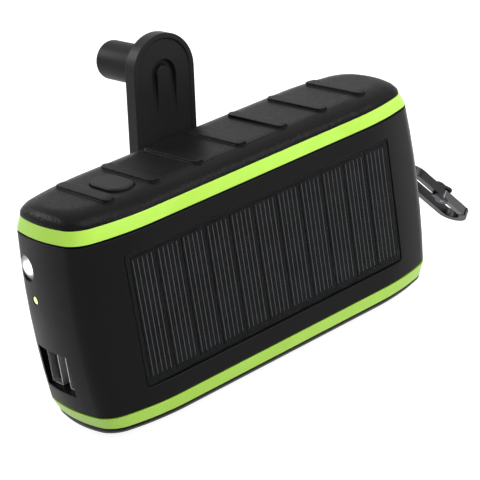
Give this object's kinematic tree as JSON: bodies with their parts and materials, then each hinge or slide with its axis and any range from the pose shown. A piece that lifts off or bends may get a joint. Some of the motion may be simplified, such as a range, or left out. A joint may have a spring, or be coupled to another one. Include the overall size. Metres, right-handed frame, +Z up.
{
  "type": "hand crank phone charger",
  "caption": "Ribbed pocket power bank with a solar panel, a folding hand crank with a turning knob, a torch, two USB sockets and a swivel snap hook.",
  "frame": {"origin": "middle of the plane that the bottom ribs rest on", "axes": "+X along the body to the snap hook, -Y out of the solar panel, +Z up"},
  "size_m": [0.1844, 0.0772, 0.1029],
  "materials": {
    "body_plastic": "soft-touch black",
    "lime_plastic": "satin lime green",
    "seal_rubber": "matt black",
    "cover_rubber": "matt, fine leather grain on its slopes",
    "board_plastic": "matt black laminate",
    "silicon": "dark cells with fine lines",
    "clear_resin": "clear and glossy",
    "bright_metal": "mirror",
    "led_plastic": "translucent",
    "light_plastic": "translucent yellow-green",
    "nickel_steel": "nickel plated",
    "socket_plastic": "moulded black",
    "board_laminate": "solder mask green",
    "cell_foil": "foil pouch",
    "brass": "turned",
    "copper": "enamelled wire",
    "magnet": "sintered",
    "gear_plastic": "natural nylon",
    "gunmetal": "dark anodised",
    "steel": "machined"
  },
  "bodies": {
    "charger": {"mid_housing": "body_plastic", "top_plate": "lime_plastic", "bottom_plate": "lime_plastic", "top_gasket": "seal_rubber", "bottom_gasket": "seal_rubber", "top_cover": "cover_rubber", "bottom_cover": "cover_rubber", "plate_screws": "steel", "panel_board": "board_plastic", "solar_cells": "silicon", "panel_window": "clear_resin", "torch_lens": "clear_resin", "torch_reflector": "bright_metal", "torch_led": "led_plastic", "light_pipe": "light_plastic", "usb_shells": "nickel_steel", "usb_tongues": "socket_plastic", "usb_carrier": "socket_plastic", "circuit_board": "board_laminate", "board_screws": "steel", "tact_switch": "socket_plastic", "battery_cells": "cell_foil", "crank_bush": "brass", "gearbox_plate": "steel", "gearbox_screws": "steel", "idler_axle": "steel", "generator_can": "nickel_steel", "generator_coils": "copper", "hook_pin": "steel"},
    "crank": {"crank_hub": "body_plastic", "crank_shaft": "steel", "crank_gear": "gear_plastic", "crank_spacer": "gear_plastic"},
    "idler": {"idler_pinion": "gear_plastic", "idler_wheel": "gear_plastic"},
    "rotor": {"generator_shaft": "steel", "generator_pinion": "brass", "generator_rotor": "magnet"},
    "arm": {"crank_arm": "body_plastic", "arm_pin": "steel", "knob_axle": "steel"},
    "grip": {"knob": "body_plastic"},
    "button": {"power_button": "cover_rubber"},
    "eye": {"hook_eye": "gunmetal"},
    "hook": {"snap_hook": "gunmetal", "gate_pin": "steel"},
    "gate": {"snap_gate": "gunmetal"}
  },
  "joints": [
    {"name": "crank_spin", "type": "hinge", "parent": "charger", "child": "crank", "pos_m": [-0.0034, 0.021, 0.0372], "axis": [0, 1, 0], "continuous": true},
    {"name": "idler_spin", "type": "hinge", "parent": "charger", "child": "idler", "pos_m": [0.01765, 0.01, 0.04486], "axis": [0, 1, 0], "continuous": true},
    {"name": "generator_spin", "type": "hinge", "parent": "charger", "child": "rotor", "pos_m": [0.02218, 0, 0.02796], "axis": [0, 1, 0], "continuous": true},
    {"name": "arm_fold", "type": "hinge", "parent": "crank", "child": "arm", "pos_m": [-0.0034, 0.0295, 0.0372], "axis": [-0.9903, 0, 0.1392], "range_deg": [0, 180]},
    {"name": "knob_spin", "type": "hinge", "parent": "arm", "child": "grip", "pos_m": [0.00411, 0.04, 0.09067], "axis": [0, 1, 0], "continuous": true},
    {"name": "button_press", "type": "slide", "parent": "charger", "child": "button", "axis": [0, 0, -1], "range_m": [0, 0.0008], "stiffness_N_per_m": 1500},
    {"name": "hook_swing", "type": "hinge", "parent": "charger", "child": "eye", "pos_m": [0.078, 0.008, 0.0402], "axis": [0, 1, 0], "range_deg": [-110, 30]},
    {"name": "hook_swivel", "type": "hinge", "parent": "eye", "child": "hook", "pos_m": [0.08536, 0.008, 0.03202], "axis": [0.6691, 0, -0.7431], "continuous": true},
    {"name": "gate_open", "type": "hinge", "parent": "hook", "child": "gate", "pos_m": [0.09931, 0.00367, 0.01767], "axis": [0.7319, 0.1736, 0.659], "range_deg": [0, 25], "stiffness_Nm_per_rad": 0.02}
  ],
  "couplings": [
    {"joint": "idler_spin", "follows": "crank_spin", "ratio": -3},
    {"joint": "generator_spin", "follows": "crank_spin", "ratio": 12}
  ]
}
